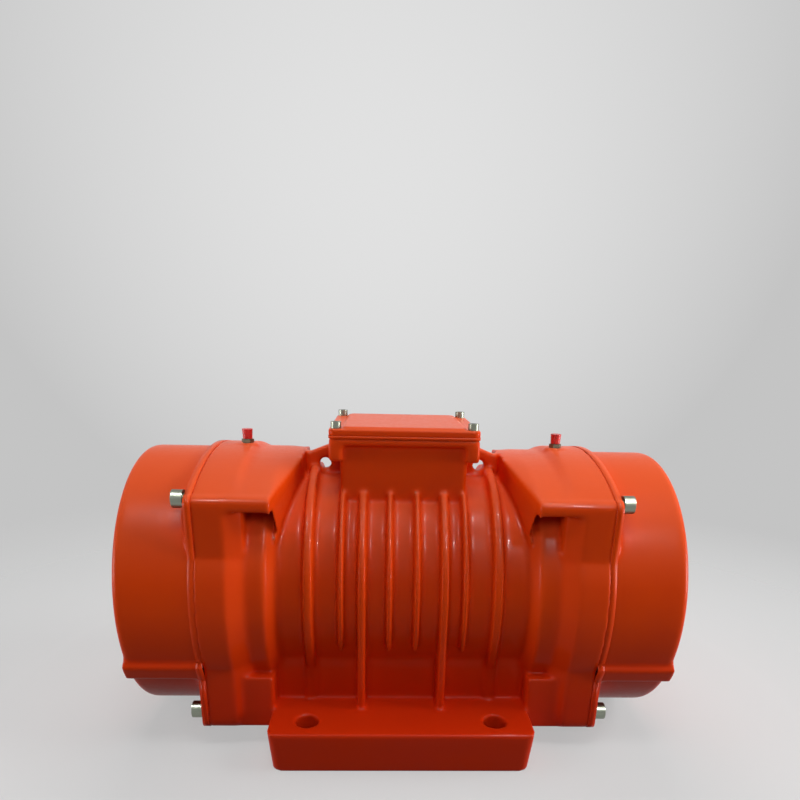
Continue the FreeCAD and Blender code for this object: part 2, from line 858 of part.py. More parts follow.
def cap_screws(label, role, seat, centres, radius, length, **place):
    """Socket head screws: heads above the seat, shanks below it, one solid each."""
    body = new_body(label, **place)
    head_height = radius * mm.screw_head_height
    circle_pad(body, role, seat - length, centres, radius, length + head_height / 2)
    circle_pad(body, role, seat, centres, radius * mm.screw_head, head_height)
    sockets = new_sketch(body, role, seat + head_height)
    draw_hexagons(sockets, centres, radius * mm.screw_hexagon)
    pocket(body, sockets, head_height / 2)
    return body


def cover_bolts(side):
    seat = mm.flange_face + mm.cover_seal_thickness + mm.cover_ear_thickness
    return cap_screws("cover_bolts_" + side, "YZ_Plane", seat,
                      four_corners(mm.cover_bolt_across, mm.cover_bolt_up),
                      mm.cover_bolt_radius, mm.cover_bolt_length, turn=SIDES[side])


# ---------------------------------------------------------------- bearings and their housings


def bearing_end():
    return mm.bearing_start + mm.bearing_width


def outer_race():
    return mm.bearing_outer_radius - mm.bearing_ring_thickness


def inner_race():
    return mm.shaft_journal_radius + mm.bearing_ring_thickness


def hub_radius():
    return mm.bearing_outer_radius + mm.hub_wall


def bearing_flange_bolt_centres():
    return on_circle(mm.seat_bore - mm.bearing_flange_bolt_inset,
                     value_of(mm.bearing_flange_bolt_count), mm.bearing_flange_bolt_start.value)


def bearing_cap_bolt_centres():
    return on_circle(mm.bearing_outer_radius + mm.hub_wall / 2,
                     value_of(mm.bearing_cap_bolt_count), mm.bearing_cap_bolt_start.value)


def bearing_flange(side):
    """The plate that fills the housing's end and holds the bearing's outer ring."""
    web_end = mm.seat_shoulder + mm.bearing_flange_web
    seat = mm.seat_bore - mm.running_gap
    lip = mm.bearing_outer_radius - mm.hub_lip_depth
    body = turned("bearing_flange_" + side, [
        (mm.seat_shoulder, lip), (mm.seat_shoulder, seat), (web_end, seat),
        (web_end, hub_radius()), (mm.hub_end, hub_radius()),
        (mm.hub_end, mm.bearing_outer_radius), (mm.bearing_start, mm.bearing_outer_radius),
        (mm.bearing_start, lip)], turn=SIDES[side])
    circle_pocket(body, "YZ_Plane", web_end, bearing_flange_bolt_centres(),
        mm.bearing_flange_bolt_radius + mm.spigot_gap, mm.bearing_flange_web)
    circle_pocket(body, "YZ_Plane", mm.hub_end, bearing_cap_bolt_centres(),
        mm.bearing_cap_bolt_radius + mm.screw_gap, mm.bearing_cap_bolt_length)
    return body


def bearing_flange_bolts(side):
    return cap_screws("bearing_flange_bolts_" + side, "YZ_Plane",
                      mm.seat_shoulder + mm.bearing_flange_web, bearing_flange_bolt_centres(),
                      mm.bearing_flange_bolt_radius, mm.bearing_flange_bolt_length,
                      turn=SIDES[side])


def bearing_cap(side):
    """The outer cap: it holds the outer ring and closes on the spacer with a narrow gap."""
    start = mm.hub_end
    end = start + mm.bearing_cap_thickness
    bore = mm.spacer_radius + mm.labyrinth_gap
    body = turned("bearing_cap_" + side, [
        (bearing_end(), outer_race() + mm.race_lip),
        (bearing_end(), mm.bearing_outer_radius - mm.running_gap),
        (start, mm.bearing_outer_radius - mm.running_gap), (start, hub_radius()),
        (end, hub_radius()), (end, bore), (start, bore),
        (start, outer_race() + mm.race_lip)], turn=SIDES[side])
    circle_pocket(body, "YZ_Plane", end, bearing_cap_bolt_centres(),
        mm.bearing_cap_bolt_radius + mm.spigot_gap, mm.bearing_cap_thickness)
    return body


def bearing_cap_bolts(side):
    return cap_screws("bearing_cap_bolts_" + side, "YZ_Plane",
                      mm.hub_end + mm.bearing_cap_thickness, bearing_cap_bolt_centres(),
                      mm.bearing_cap_bolt_radius, mm.bearing_cap_bolt_length, turn=SIDES[side])


def bearing_middle():
    return mm.bearing_start + mm.bearing_width / 2


def bearing_outer_ring(side):
    """The outer ring, with a lip either side of the rollers."""
    lip = outer_race() - mm.race_lip
    half = mm.roller_length / 2 + mm.moving_gap
    middle = bearing_middle()
    return turned("bearing_outer_ring_" + side, [
        (mm.bearing_start, lip), (middle - half, lip), (middle - half, outer_race()),
        (middle + half, outer_race()), (middle + half, lip), (bearing_end(), lip),
        (bearing_end(), mm.bearing_outer_radius), (mm.bearing_start, mm.bearing_outer_radius)],
        turn=SIDES[side])


def bearing_inner_ring(side):
    """The inner ring, with one lip on the side of the rotor."""
    lip = inner_race() + mm.race_lip
    lip_end = bearing_middle() - mm.roller_length / 2 - mm.moving_gap
    return turned("bearing_inner_ring_" + side, [
        (mm.bearing_start, mm.shaft_journal_radius), (bearing_end(), mm.shaft_journal_radius),
        (bearing_end(), inner_race()), (lip_end, inner_race()),
        (lip_end, lip), (mm.bearing_start, lip)], turn=SIDES[side])


def roller_radius():
    return (outer_race() - inner_race()) / 2 - mm.running_gap


def roller_pitch():
    return (outer_race() + inner_race()) / 2


def roller_centres():
    """As many rollers as the pitch circle holds at their spacing."""
    spacing = roller_radius().value * 2 * mm.roller_spacing.value
    return on_circle(roller_pitch(), math.tau * roller_pitch().value // spacing)


def bearing_rollers(side):
    body = new_body("bearing_rollers_" + side, turn=SIDES[side])
    circle_pad(body, "YZ_Plane", bearing_middle(), roller_centres(), roller_radius(),
               mm.roller_length, symmetric=True)
    return body


def bearing_cage(side):
    """The ring that keeps the rollers apart, with a round window for each."""
    middle = bearing_middle()
    half = mm.cage_width / 2
    body = turned("bearing_cage_" + side, ring_profile(
        middle - half, roller_pitch() - mm.cage_thickness / 2,
        middle + half, roller_pitch() + mm.cage_thickness / 2),
        turn=SIDES[side])
    circle_pocket(body, "YZ_Plane", middle, roller_centres(), roller_radius() + mm.running_gap,
                  mm.roller_length + mm.moving_gap, symmetric=True)
    return body


# ---------------------------------------------------------------- stator and rotor


def stator_core():
    half = mm.core_half_length
    return turned("stator_core", ring_profile(-half, mm.stator_bore, half, mm.barrel_bore))


def stator_windings():
    """The two coil heads that stand out of the core."""
    body = new_body("stator_windings")
    inner = mm.winding_inner_radius
    outer = mm.winding_outer_radius
    start = mm.core_half_length
    end = start + mm.winding_overhang
    edge = mm.winding_edge
    sketch = new_sketch(body, "XZ_Plane")
    draw_outline(sketch, [
        (start, inner), (end - edge, inner), Arc(edge), (end, inner + edge),
        (end, outer - edge), Arc(edge), (end - edge, outer), (start, outer)])
    head = revolve(body, sketch)
    mirror(body, [head], "YZ_Plane")
    return body


def shaft():
    """The stepped shaft, with a keyway under each fixed weight and a groove at each end."""
    groove_start = adjustable_end() + mm.moving_gap
    groove_end = groove_start + mm.end_ring_thickness
    neck = mm.shaft_weight_radius - mm.shaft_end_chamfer
    half = [
        (mm.shaft_end, 0.0), (mm.shaft_end, neck),
        (mm.shaft_end - mm.shaft_end_chamfer, mm.shaft_weight_radius),
        (groove_end, mm.shaft_weight_radius), (groove_end, neck), (groove_start, neck),
        (groove_start, mm.shaft_weight_radius), (bearing_end(), mm.shaft_weight_radius),
        (bearing_end(), mm.shaft_journal_radius), (mm.bearing_start, mm.shaft_journal_radius),
        (mm.bearing_start, mm.shaft_core_radius)]
    other_half = [(-along, radius) for along, radius in reversed(half)]
    body = new_body("shaft")
    sketch = new_sketch(body, "XZ_Plane")
    draw_outline(sketch, half + other_half)
    revolve(body, sketch)
    for side in (1, -1):
        keyway = new_sketch(body, "XY_Plane", mm.shaft_weight_radius)
        ends = sorted([mm.spacer_end * side, fixed_end() * side], key=value_of)
        draw_outline(keyway, rectangle(ends[0], -mm.key_width / 2, ends[1], mm.key_width / 2))
        pocket(body, keyway, mm.key_depth)
    return body


def rotor_core():
    half = mm.core_half_length
    return turned("rotor_core", ring_profile(
        -half, mm.shaft_core_radius, half, mm.stator_bore - mm.air_gap))


def rotor_end_rings():
    """The short-circuit rings cast on both faces of the rotor core."""
    body = new_body("rotor_end_rings")
    start = mm.core_half_length
    sketch = new_sketch(body, "XZ_Plane")
    draw_outline(sketch, rectangle(start, mm.rotor_end_ring_inner,
                                   start + mm.rotor_end_ring_length, mm.rotor_end_ring_outer))
    ring = revolve(body, sketch)
    mirror(body, [ring], "YZ_Plane")
    return body


def spacer_ring(side):
    """The ring between the bearing and the fixed weight."""
    return turned("spacer_ring_" + side, ring_profile(
        bearing_end(), mm.shaft_weight_radius, mm.spacer_end, mm.spacer_radius),
        turn=SIDES[side])


# ---------------------------------------------------------------- eccentric weights


def fixed_end():
    return mm.spacer_end + mm.fixed_weight_thickness


def adjustable_start():
    return fixed_end() + mm.moving_gap


def adjustable_end():
    return adjustable_start() + mm.adjustable_weight_thickness


def weight_outline():
    """A heavy sector below the shaft with a hub round it."""
    start = polar(mm.weight_radius, 180.0 + mm.weight_shoulder_angle.value)
    end = polar(mm.weight_radius, -mm.weight_shoulder_angle.value)
    hub_start = polar(mm.weight_hub_radius, mm.weight_hub_angle.value)
    hub_end = polar(mm.weight_hub_radius, 180.0 - mm.weight_hub_angle.value)
    return [start, Arc(mm.weight_radius), end, hub_start, Arc(mm.weight_hub_radius), hub_end]


def fixed_weight(side):
    """The weight keyed to the shaft."""
    body = new_body("fixed_weight_" + side, turn=SIDES[side])
    outline_pad(body, "YZ_Plane", mm.spacer_end, weight_outline(), mm.fixed_weight_thickness)
    circle_pocket(body, "YZ_Plane", fixed_end(), [(0.0, 0.0)], mm.shaft_weight_radius,
                  mm.fixed_weight_thickness)
    slot = new_sketch(body, "YZ_Plane", fixed_end())
    draw_outline(slot, rectangle(-mm.key_width / 2, 0.0, mm.key_width / 2, key_top()))
    pocket(body, slot, mm.fixed_weight_thickness)
    return body


def key_top():
    return mm.shaft_weight_radius - mm.key_depth + mm.key_height


def weight_keys():
    """One key under each fixed weight."""
    body = new_body("weight_keys")
    sketch = new_sketch(body, "YZ_Plane", mm.spacer_end)
    draw_outline(sketch, rectangle(
        -mm.key_width / 2, mm.shaft_weight_radius - mm.key_depth, mm.key_width / 2, key_top()))
    key = pad(body, sketch, mm.fixed_weight_thickness)
    mirror(body, [key], "YZ_Plane")
    return body


def adjustable_weight(side):
    """The weight that is turned on the shaft and clamped, split at the top of its hub."""
    body = new_body("adjustable_weight_" + side, turn=SIDES[side])
    outline_pad(body, "YZ_Plane", adjustable_start(), weight_outline(),
                mm.adjustable_weight_thickness)
    circle_pocket(body, "YZ_Plane", adjustable_end(), [(0.0, 0.0)],
                  mm.shaft_weight_radius + mm.running_gap, mm.adjustable_weight_thickness)
    split = new_sketch(body, "YZ_Plane", adjustable_end())
    draw_outline(split, rectangle(-mm.weight_split / 2, 0.0, mm.weight_split / 2,
                                  mm.weight_hub_radius + mm.weight_split))
    pocket(body, split, mm.adjustable_weight_thickness)
    centre = [(clamp_bolt_along(), mm.clamp_bolt_height)]
    circle_pocket(body, "XZ_Plane", 0.0, centre, mm.clamp_bolt_radius + mm.screw_gap,
                  mm.weight_radius, symmetric=True)
    head = mm.clamp_bolt_radius * mm.screw_head + mm.spigot_gap
    circle_pocket(body, "XZ_Plane", mm.clamp_bolt_seat / 2, centre, head, mm.weight_radius / 2,
                  towards_normal=True)
    return body


def clamp_bolt_along():
    return adjustable_start() + mm.adjustable_weight_thickness / 2


def clamp_bolt(side):
    """The socket screw across the split of the adjustable weight."""
    return cap_screws("clamp_bolt_" + side, "XZ_Plane", mm.clamp_bolt_seat / 2,
                      [(clamp_bolt_along(), mm.clamp_bolt_height)], mm.clamp_bolt_radius,
                      mm.clamp_bolt_length, turn=SIDES[side])


def shaft_end_rings():
    """The retaining rings in the grooves outside the adjustable weights."""
    body = new_body("shaft_end_rings")
    start = adjustable_end() + mm.moving_gap
    neck = mm.shaft_weight_radius - mm.shaft_end_chamfer
    sketch = new_sketch(body, "XZ_Plane")
    draw_outline(sketch, rectangle(start, neck, start + mm.end_ring_thickness,
                                   neck + mm.end_ring_width))
    ring = revolve(body, sketch)
    mirror(body, [ring], "YZ_Plane")
    return body


# ---------------------------------------------------------------- grease points


def nipple_place(side):
    along = mm.nipple_at if side == "right" else -mm.nipple_at
    return (along, 0.0, mm.shaft_height + mm.nipple_boss_top)


def grease_nipple(side):
    """A threaded nipple with a hexagon, a neck and a head."""
    body = new_body("grease_nipple_" + side, at=nipple_place(side))
    circle_pad(body, "XY_Plane", -mm.nipple_shank_length, [(0.0, 0.0)], mm.nipple_shank_radius,
               mm.nipple_shank_length)
    hexagon = new_sketch(body, "XY_Plane")
    draw_hexagons(hexagon, [(0.0, 0.0)], mm.nipple_hex)
    pad(body, hexagon, mm.nipple_hex_height)
    neck_end = mm.nipple_hex_height + mm.nipple_neck_length
    circle_pad(body, "XY_Plane", mm.nipple_hex_height, [(0.0, 0.0)], mm.nipple_neck_radius,
               mm.nipple_neck_length)
    circle_pad(body, "XY_Plane", neck_end, [(0.0, 0.0)], mm.nipple_head_radius,
               mm.nipple_head_length)
    return body


def grease_cap(side):
    """The plastic cap pushed over the nipple, a little wider at its crown."""
    body = new_body("grease_cap_" + side, at=nipple_place(side))
    start = mm.nipple_hex_height + mm.moving_gap
    ceiling = mm.nipple_hex_height + mm.nipple_neck_length + mm.nipple_head_length + mm.moving_gap
    inner = mm.nipple_head_radius + mm.moving_gap
    outer = inner + mm.grease_cap_wall
    sketch = new_sketch(body, "XZ_Plane")
    draw_outline(sketch, [
        (inner, start), (outer, start), (outer + mm.grease_cap_flare, ceiling + mm.grease_cap_crown),
        (0.0, ceiling + mm.grease_cap_crown), (0.0, ceiling), (inner, ceiling)])
    revolve(body, sketch, axis="V_Axis")
    return body


# ---------------------------------------------------------------- terminal box contents


def lid_bottom():
    return mm.rim_top + mm.gasket_thickness


def lid_gasket():
    body = new_body("lid_gasket")
    outline_pad(body, "XY_Plane", mm.rim_top, rounded_rectangle(
        mm.rim_half_length, mm.rim_half_width, mm.rim_corner), mm.gasket_thickness)
    opening = new_sketch(body, "XY_Plane", lid_bottom())
    draw_outline(opening, rounded_rectangle(mm.rim_half_length - mm.gasket_width,
                                            mm.rim_half_width - mm.gasket_width, mm.rim_corner))
    pocket(body, opening, mm.gasket_thickness)
    circle_pocket(body, "XY_Plane", lid_bottom(),
                  four_corners(mm.lid_bolt_at_length, mm.lid_bolt_at_width),
                  mm.lid_bolt_radius + mm.spigot_gap, mm.gasket_thickness)
    return body


def terminal_box_lid():
    """The cast lid with a raised pad between its bolts and rounded edges."""
    body = new_body("terminal_box_lid")
    top = lid_bottom() + mm.lid_thickness
    head = mm.lid_bolt_radius * mm.screw_head
    outline_pad(body, "XY_Plane", lid_bottom(), rounded_rectangle(
        mm.rim_half_length, mm.rim_half_width, mm.rim_corner), mm.lid_thickness)
    round_rim(body, top)
    outline_pad(body, "XY_Plane", top, rounded_rectangle(
        mm.lid_bolt_at_length - head - mm.lid_pad_gap, mm.rim_half_width - mm.lid_pad_gap * 2,
        mm.rim_corner), mm.lid_pad_height)
    round_rim(body, top + mm.lid_pad_height)
    circle_pocket(body, "XY_Plane", top, four_corners(mm.lid_bolt_at_length, mm.lid_bolt_at_width),
                  mm.lid_bolt_radius + mm.spigot_gap, mm.lid_thickness)
    return body


def round_rim(body, height):
    """Rounds the edges that lie level at a height."""
    def lies_there(edge):
        box = edge.BoundBox
        return max(abs(box.ZMin - height.value), abs(box.ZMax - height.value)) < NEAR

    soften(body, mm.lid_edge, lies_there)


def lid_bolts():
    return cap_screws("lid_bolts", "XY_Plane", lid_bottom() + mm.lid_thickness,
                      four_corners(mm.lid_bolt_at_length, mm.lid_bolt_at_width),
                      mm.lid_bolt_radius, mm.lid_bolt_length)


def terminal_centres():
    return [(mm.stud_pitch * column, mm.stud_row * row) for column in (-1, 0, 1)
            for row in (-1, 1)]


def terminal_block():
    body = new_body("terminal_block")
    half = mm.block_length / 2
    across = mm.block_width / 2
    outline_pad(body, "XY_Plane", mm.box_floor, rectangle(-half, -across, half, across),
                mm.block_height)
    circle_pocket(body, "XY_Plane", mm.box_floor + mm.block_height, terminal_centres(),
                  mm.stud_radius, mm.block_height / 2)
    return body


def terminal_studs():
    body = new_body("terminal_studs")
    circle_pad(body, "XY_Plane", mm.box_floor + mm.block_height / 2, terminal_centres(),
               mm.stud_radius, mm.stud_height + mm.block_height / 2)
    return body


def terminal_nuts():
    body = new_body("terminal_nuts")
    seat = mm.box_floor + mm.block_height
    sketch = new_sketch(body, "XY_Plane", seat)
    draw_hexagons(sketch, terminal_centres(), mm.nut_across)
    pad(body, sketch, mm.nut_height)
    circle_pocket(body, "XY_Plane", seat + mm.nut_height, terminal_centres(),
                  mm.stud_radius + mm.running_gap, mm.nut_height)
    return body


def earth_screw():
    """The earth screw on the floor of the box."""
    body = new_body("earth_screw")
    centre = [(-mm.earth_screw_at, 0.0)]
    head = new_sketch(body, "XY_Plane", mm.box_floor)
    draw_hexagons(head, centre, mm.nut_across)
    pad(body, head, mm.nut_height)
    return body


# ---------------------------------------------------------------- cable gland


def gland_body_at(label):
    """A body at the box's rear wall, its own X pointing out to the rear."""
    place = (0.0, mm.box_half_width, mm.shaft_height + mm.gland_height)
    return new_body(label, turn=90.0, at=place)


def gland_body():
    """The gland's fixed part: thread through the wall, hexagon and threaded collar."""
    body = gland_body_at("gland_body")
    hex_end = mm.gland_hex_length
    collar_end = hex_end + mm.gland_collar_length
    sketch = new_sketch(body, "XZ_Plane")
    draw_outline(sketch, [
        (-mm.box_wall, mm.gland_bore), (collar_end, mm.gland_bore),
        (collar_end, mm.gland_collar_radius), (0.0, mm.gland_collar_radius),
        (0.0, mm.gland_thread_radius), (-mm.box_wall, mm.gland_thread_radius)])
    revolve(body, sketch)
    hexagon = new_sketch(body, "YZ_Plane")
    draw_hexagons(hexagon, [(0.0, 0.0)], mm.gland_hex)
    draw_circles(hexagon, [(0.0, 0.0)], mm.gland_bore)
    pad(body, hexagon, mm.gland_hex_length)
    return body


def gland_seal():
    """The rubber sleeve that the nut presses round a cable."""
    body = gland_body_at("gland_seal")
    start = mm.gland_hex_length + mm.gland_collar_length
    sketch = new_sketch(body, "XZ_Plane")
    draw_outline(sketch, ring_profile(
        start, mm.gland_bore, start + mm.gland_collar_length / 2,
        mm.gland_bore + mm.gland_seal_wall))
    revolve(body, sketch)
    return body


def gland_nut():
    """The domed nut screwed over the collar."""
    body = gland_body_at("gland_nut")
    start = mm.gland_hex_length
    thread = mm.gland_collar_radius + mm.screw_gap
    end = start + mm.gland_nut_length
    outer = mm.gland_nut_radius
    shoulder = start + mm.gland_collar_length + mm.gland_collar_length / 2
    sketch = new_sketch(body, "XZ_Plane")
    draw_outline(sketch, [
        (start, thread), (shoulder, thread), (shoulder, mm.gland_bore), (end, mm.gland_bore),
        (end, outer - mm.gland_seal_wall), Arc(mm.gland_seal_wall),
        (end - mm.gland_seal_wall, outer), (start, outer)])
    revolve(body, sketch)
    return body


# ---------------------------------------------------------------- the assembly


def build():
    fill_sheet()
    pieces = [
        motor_housing(), stator_core(), stator_windings(), shaft(), rotor_core(),
        rotor_end_rings(), weight_keys(), shaft_end_rings(), terminal_box_lid(), lid_gasket(),
        lid_bolts(), terminal_block(), terminal_studs(), terminal_nuts(), earth_screw(),
        gland_body(), gland_seal(), gland_nut(),
    ]
    for side in SIDES:
        pieces += [
            end_cover(side), cover_seal(side), cover_bolts(side), bearing_flange(side),
            bearing_flange_bolts(side), bearing_cap(side), bearing_cap_bolts(side),
            bearing_outer_ring(side), bearing_inner_ring(side), bearing_rollers(side),
            bearing_cage(side), spacer_ring(side), fixed_weight(side), adjustable_weight(side),
            clamp_bolt(side), grease_nipple(side), grease_cap(side),
        ]
    doc.recompute()
    for thing in doc.Objects:
        if "Invalid" in thing.State or "Error" in thing.State:
            raise ValueError("%s did not build: %s" % (thing.Label, thing.State))
    for piece in pieces:
        if piece.Shape.isNull() or not piece.Shape.isValid() or not piece.Shape.Solids:
            raise ValueError("%s has no sound shape" % piece.Label)
    os.makedirs("parts", exist_ok=True)
    for piece in pieces:
        piece.Shape.exportStep("parts/%s.step" % piece.Label)


build()
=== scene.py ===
import math

import bmesh
import bpy
from bpy.props import FloatProperty, FloatVectorProperty, IntProperty, PointerProperty
from mathutils import Matrix, Vector


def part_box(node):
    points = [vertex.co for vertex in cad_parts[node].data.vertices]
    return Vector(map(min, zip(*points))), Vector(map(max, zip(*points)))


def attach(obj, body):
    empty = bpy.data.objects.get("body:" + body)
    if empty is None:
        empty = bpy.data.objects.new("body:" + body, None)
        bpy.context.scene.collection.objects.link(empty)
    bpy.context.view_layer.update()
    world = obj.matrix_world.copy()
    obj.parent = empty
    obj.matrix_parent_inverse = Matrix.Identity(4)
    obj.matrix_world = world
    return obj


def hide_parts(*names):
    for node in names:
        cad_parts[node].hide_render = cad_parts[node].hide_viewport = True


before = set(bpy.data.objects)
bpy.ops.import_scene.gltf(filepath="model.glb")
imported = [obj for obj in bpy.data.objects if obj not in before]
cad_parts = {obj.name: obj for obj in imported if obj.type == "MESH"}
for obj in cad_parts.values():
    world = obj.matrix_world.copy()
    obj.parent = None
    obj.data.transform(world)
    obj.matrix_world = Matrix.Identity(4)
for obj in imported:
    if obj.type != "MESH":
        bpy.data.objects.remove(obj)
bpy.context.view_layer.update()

bl_info = {
    "name": "Vibration motor dressing",
    "version": (1, 0, 0),
    "blender": (4, 5, 0),
    "location": "View3D > Sidebar > Motor",
    "description": "Gives a foot-mounted vibration motor its castings, screws and finishes",
    "category": "Object",
}

SIDES = ("left", "right")
WELD = 1e-6
STRIP_SINK = 0.0004
STRIP_WALL = 0.001
JOINT_GAP = 0.0008
LID_STRIP_LAP = 0.0006
BLACK = (0.0, 0.0, 0.0, 1.0)


def linear(red, green, blue):
    """A colour given in screen values from 0 to 255, as scene-linear numbers."""
    def channel(value):
        value /= 255
        return value / 12.92 if value <= 0.04045 else ((value + 0.055) / 1.055) ** 2.4

    return channel(red), channel(green), channel(blue), 1.0


def tint(name, description, default):
    return FloatVectorProperty(name=name, description=description, subtype="COLOR", size=4,
                               min=0.0, max=1.0, default=default)


def length(name, description, default):
    return FloatProperty(name=name, description=description, default=default, min=0.0,
                         precision=4, subtype="DISTANCE", unit="LENGTH")


def watts(name, lamp, default):
    return FloatProperty(name=name, description="Watts of " + lamp, default=default, min=0.0)


# ---------------------------------------------------------------- settings


class CastingSettings(bpy.types.PropertyGroup):
    paint: tint("Enamel", "Colour of the enamel on the castings", linear(227, 69, 10))
    # Painted highlight: the enamel is painted paler where it faces up and on convex edges, where
    # light falls.
    highlight_paint: tint("Faded enamel", "Colour of the enamel where it faces up",
                      linear(236, 98, 54))
    # Dark enamel: random darker patches, and painted shade in corners and towards the floor.
    dark_and_shaded_paint: tint("Enamel in corners", "Colour of the enamel where it pools in corners",
                     linear(184, 24, 4))
    grain: length("Casting grain", "Size of the smallest shape that a casting keeps", 0.0019)
    lid_grain: length("Lid grain", "Size of the smallest shape that the lid keeps", 0.0011)
    softness: IntProperty(name="Softness", description="Rounds of smoothing on cast edges",
                          default=10, min=0, max=20)
    seam: length("Painted seam", "Half the width of the paint that bridges a joint", 0.0032)
    facets: IntProperty(name="Facets", description="Most triangles on one casting",
                        default=180000, min=1000, max=199000)


class ScrewSettings(bpy.types.PropertyGroup):
    zinc: tint("Zinc", "Colour of the plated screws", linear(142, 148, 134))
    edge: length("Screw edge", "Width of the bevel on screws and turned pieces", 0.0004)


class GreaseSettings(bpy.types.PropertyGroup):
    cap: tint("Cap", "Colour of the plastic caps", linear(206, 34, 30))
    nipple: tint("Nipple", "Colour of the steel nipples", linear(128, 138, 118))


class FittingSettings(bpy.types.PropertyGroup):
    nylon: tint("Gland nylon", "Colour of the cable gland", linear(26, 27, 29))
    gland_rubber: tint("Gland rubber", "Colour of the gland's seal", linear(18, 18, 19))
    seal_rubber: tint("Seal rubber", "Colour of the lid gasket and cover seals",
                      linear(30, 30, 30))
    resin: tint("Resin", "Colour of the terminal block", linear(62, 34, 22))
    brass: tint("Terminal brass", "Colour of studs, nuts and earth screw",
                linear(200, 160, 84))


class RunningGearSettings(bpy.types.PropertyGroup):
    ground: tint("Ground steel", "Colour of shaft, keys and end rings", linear(176, 178, 182))
    race: tint("Bearing steel", "Colour of races and rollers", linear(190, 192, 196))
    cage: tint("Cage brass", "Colour of the bearing cages", linear(196, 156, 86))
    turned: tint("Turned iron", "Colour of flanges, caps and spacers", linear(118, 118, 120))
    weight: tint("Weight iron", "Colour of the eccentric weights", linear(88, 88, 92))


class ElectricSettings(bpy.types.PropertyGroup):
    sheet: tint("Sheet steel", "Colour of the stacked sheets", linear(120, 122, 128))
    sheet_height: length("Sheet pair", "Thickness of two stacked sheets", 0.0008)
    wire: tint("Wire", "Colour of the wire where the light catches it", linear(186, 92, 44))
    aluminium: tint("Cast aluminium", "Colour of the rotor's end rings", linear(176, 178, 180))


class StageSettings(bpy.types.PropertyGroup):
    floor: tint("Floor", "Colour of the floor", linear(214, 214, 214))
    shade: tint("Shaded floor", "Colour of the floor as the object's paint meets it",
                linear(92, 92, 92))
    horizon: tint("Horizon", "Colour of the background", linear(196, 196, 196))
    # Painted pool of light: the background is paler behind the object.
    backdrop_glow: tint("Haze", "Colour of the background behind the object", linear(226, 226, 226))
    eye: FloatVectorProperty(name="Eye", description="Where the camera stands", size=3,
                             subtype="TRANSLATION", unit="LENGTH",
                             default=(-0.0217, -0.6616, 0.3812))
    pitch: FloatProperty(name="Pitch", description="How far the camera looks down",
                         subtype="ANGLE", unit="ROTATION", default=0.336)
    yaw: FloatProperty(name="Yaw", description="How far the camera turns to the right",
                       subtype="ANGLE", unit="ROTATION", default=0.033)
    roll: FloatProperty(name="Roll", description="How far the camera leans",
                        subtype="ANGLE", unit="ROTATION", default=0.022)
    lens: FloatProperty(name="Lens", description="Focal length in millimetres", default=28.34)
    rise: FloatProperty(name="Rise", description="Vertical shift of the lens", default=0.208)
    key: watts("Key light", "the overhead lamp", 11.5)
    brow: watts("Upper front light", "the lamp above the camera", 7.5)
    front: watts("Front light", "the lamp low in front", 3.6)
    rear: watts("Rear light", "the lamp behind", 6.0)
    left: watts("Low left light", "the low lamp on the left", 12.5)
    right: watts("Low right light", "the low lamp on the right", 19.0)
    high_left: watts("High left light", "the high lamp on the left", 4.0)
    high_right: watts("High right light", "the high lamp on the right", 15.0)
    sparkle: watts("Sparkle", "each narrow lamp that only gloss shows", 18.0)
    sky: tint("Sky", "Even light all round", (0.03, 0.03, 0.03, 1.0))
    glow: FloatProperty(name="Floor glow", description="Share of the floor without shadow",
                        subtype="FACTOR", default=0.6, min=0.0, max=1.0)
    near: length("Floor kept", "How far from the object the floor is full", 0.45)
    far: length("Floor lost", "Where the floor has faded into the background", 1.1)


# ---------------------------------------------------------------- finishes


class Wire:
    """A value in a node tree. Sums and products of it add Math nodes."""

    def __init__(self, finish, socket):
        self.finish = finish
        self.socket = socket

    def combine(self, operation, first, second):
        return self.finish.node("ShaderNodeMath", {"operation": operation}, {0: first, 1: second})

    def __add__(self, other):
        return self.combine("ADD", self, other)

    def __radd__(self, other):
        return self.combine("ADD", other, self)

    def __mul__(self, other):
        return self.combine("MULTIPLY", self, other)

    def __rmul__(self, other):
        return self.combine("MULTIPLY", other, self)


